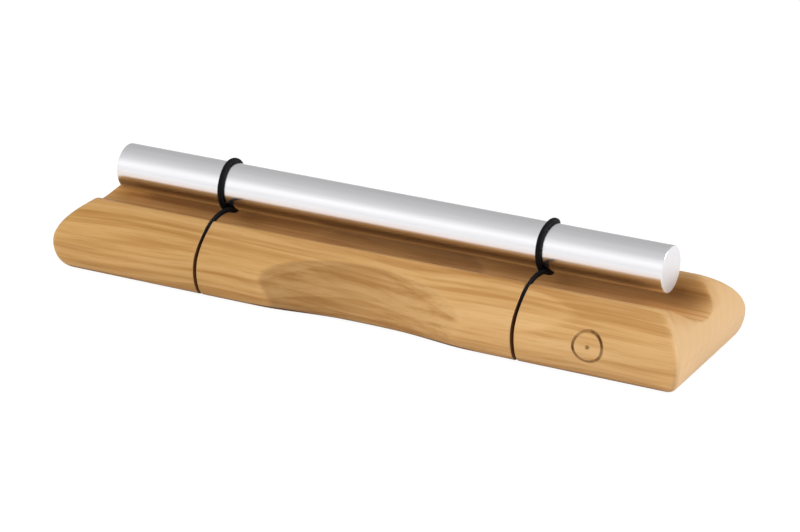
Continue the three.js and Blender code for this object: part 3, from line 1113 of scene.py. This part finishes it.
# from the trough wall to the bar, round under it and up its far side to the top: y, z, a sideways shift and a
# squeeze, which is 1 in the kerf, 0 in the free cord and below 0 where the cord is pressed flat
def passRoute(start, shift, midShift, topShift, spread, rise):
    c, n = cordSet, cordSet["points"]
    axisZ = barSet["axisZ"]

    def loopAt(squeeze):
        return barSet["radius"] + c["snugGap"] + c["thickness"] / 2 * (1 + c["flatten"] * min(squeeze, 0))

    def share(turn, fromTurn, toTurn):
        return eased(min(max((turn - fromTurn) / (toTurn - fromTurn), 0), 1))

    meet = math.radians(c["meetAngle"])
    slid = meet + math.radians(c["slideAngle"])
    meetY, meetZ = loopAt(spread) * math.cos(meet), axisZ + loopAt(spread) * math.sin(meet)
    fadeFrom, fadeTo = math.radians(c["fadeFrom"]), math.radians(c["fadeTo"])
    riseFrom, riseTo = math.radians(rise[0]), math.radians(rise[1])
    rows = []
    for part in np.linspace(0, 1, n["strand"]):
        y, z = start[0] + (meetY - start[0]) * part, start[1] + (meetZ - start[1]) * part
        rows.append((y, z, c["meetShift"] * eased(part), max(spread, c["released"] - part * c["letGo"])))
    last = math.pi / 2 + math.radians(c["overlap"])
    for turn in np.linspace(meet, last, n["loop"])[1:]:
        aside = c["meetShift"] + (shift - c["meetShift"]) * share(turn, meet, slid)
        aside += (midShift - shift) * share(turn, fadeFrom, fadeTo)
        aside += (topShift - midShift) * share(turn, riseFrom, riseTo)
        fade = min(max((turn - fadeFrom) / (fadeTo - fadeFrom), 0), 1)
        pressed = spread * max(0.0, 1 - fade * 2)  # round again half way
        loop = loopAt(pressed)
        rows.append((loop * math.cos(turn), axisZ + loop * math.sin(turn), aside, pressed))
    return np.array(rows)


# rows at even steps along the cord, and how far each lies from its end
def evenly(rows, step):
    run = runLength(rows[:, :3])
    places = np.linspace(0, run[-1], max(int(run[-1] / step), 2) + 1)
    even = np.column_stack([np.interp(places, run, rows[:, column]) for column in range(4)])
    for turn in range(cordSet["soften"]):  # takes the kink out of the bends
        even[1:-1] = even[1:-1] / 2 + (even[:-2] + even[2:]) / 4
    return even, places - places[-1]


def makeTube(name, x, rows, lay):
    c = cordSet
    track = np.column_stack([x + rows[:, 2], rows[:, 0], rows[:, 1]])
    along = np.gradient(track, axis=0)
    along /= np.linalg.norm(along, axis=1)[:, None]
    across = np.array([1.0, 0.0, 0.0]) - along * along[:, :1]
    across /= np.linalg.norm(across, axis=1)[:, None]
    outward = np.cross(along, across)
    pinched, pressed = np.maximum(rows[:, 3], 0), np.maximum(-rows[:, 3], 0)
    wide = c["width"] / 2 + (c["kerfHalfWidth"] - c["width"] / 2) * pinched
    deep = c["thickness"] / 2 + (c["kerfHalfDepth"] - c["thickness"] / 2) * pinched
    wide, deep = wide * (1 + (c["spread"] - 1) * pressed), deep * (1 - c["flatten"] * pressed)
    toBar = np.column_stack([np.zeros(len(rows)), -rows[:, 0], barSet["axisZ"] - rows[:, 1]])
    lying = np.sign((outward * toBar).sum(axis=1))  # which side is on the bar
    lying *= np.clip(1 - c["seatFade"] * pinched, 0, 1)
    count = c["around"]
    points = []
    for row in range(len(rows)):
        twist = 2 * math.pi * lay[row] / c["plaitLength"]
        for step in range(count):
            turn = 2 * math.pi * step / count
            rest = max(0.0, math.sin(turn) * lying[row])
            height = max(-1.0, min(1.0, math.sin(turn) * (1 + c["seat"] * rest)))
            strand = c["plaits"] / 2 * turn
            plait = max(math.cos(strand + twist), math.cos(strand - twist))
            sunk = c["plaitHeight"] * (1 - plait) * (1 - rest)
            point = track[row] + across[row] * (wide[row] - sunk) * math.cos(turn)
            points.append(tuple((point + outward[row] * (deep[row] - sunk) * height) * mm))
    faces = rowFaces(len(rows), count)
    sides = len(faces)
    faces.append(tuple(range(count))[::-1])
    faces.append(tuple(range(len(points) - count, len(points))))
    mesh = bpy.data.meshes.new(name)
    mesh.from_pydata(points, [], faces)
    layMap = mesh.uv_layers.new(name="plaitLay")
    for face in mesh.polygons[:sides]:
        row, step = divmod(face.index, count)
        corners = ((row, step), (row, step + 1), (row + 1, step + 1), (row + 1, step))
        for loop, (atRow, atStep) in zip(face.loop_indices, corners):
            layMap.data[loop].uv = (lay[atRow] / c["plaitLength"], atStep / count)
    return makePiece(mesh, c["sharpAngle"])


def makeElastic():
    c = cordSet
    material, tree, output = newMaterial("blackElastic")
    lay = addNode(tree, "ShaderNodeUVMap", uv_map="plaitLay").outputs["UV"]
    threads = noise(tree, doVector(tree, "MULTIPLY", lay, c["threads"]), 1.0).outputs["Fac"]
    drift = drifting(tree, objectPlace(tree), *c["drift"])
    streak = streaked(tree, lay, *c["streak"])
    lift = doMath(tree, "MULTIPLY", doMath(tree, "MULTIPLY", streak, c["dustShare"]), drift)
    colour = mixColour(tree, lift, c["black"], c["dusty"])
    rough = mapRange(tree, threads, 0.3, 0.7, *c["rough"])
    normal = bumped(tree, threads, c["bump"], c["bumpDepth"])
    finish = addNode(tree, "ShaderNodeBsdfPrincipled", {
        "Base Color": colour, "Roughness": rough, "Normal": normal,
        "Specular IOR Level": 0.12, "Sheen Weight": 0.02, "Sheen Roughness": 0.5,
    })
    tree.links.new(finish.outputs[0], output.inputs["Surface"])
    return material


elastic = makeElastic()


def makeRing(side, x):
    c = cordSet
    legs = legRoute()
    squeeze = np.ones(len(legs))
    last = c["releaseRows"]
    squeeze[-last:] = np.linspace(1.0, c["released"], last)  # fills out as it leaves the kerf
    rows = np.column_stack([legs, np.zeros(len(legs)), squeeze])
    under = np.vstack([rows[::-1], rows[1:] * (-1, 1, 1, 1)])[::-1]
    loop, top, rise = c["loopShift"][side], c["topShift"][side], c["rise"]
    near = passRoute(legs[-1], loop + c["sideBySide"], c["farShift"][side], top, -1.0, rise["near"])
    far = passRoute(legs[-1], -loop, -loop, -top, 0.0, rise["far"]) * (-1, 1, -1, 1)
    legsPiece = makeTube(side + "CordLegs", x, *evenly(under, c["step"] * 2))
    frontPass = makeTube(side + "CordFrontPass", x, *evenly(near, c["step"]))
    backPass = makeTube(side + "CordBackPass", x, *evenly(far, c["step"]))
    for piece in (legsPiece, frontPass, backPass):
        piece.data.materials.append(elastic)
        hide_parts(side + "_cord")
    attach(legsPiece, "base")
    x, wall, free, z = x * mm, abs(legs[-1][0]) * mm, c["freeY"] * mm, c["blendZ"] * mm
    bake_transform(frontPass)
    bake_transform(backPass)


makeRing("left", -baseSet["kerfX"])
makeRing("right", baseSet["kerfX"])
print("cord rings laid")
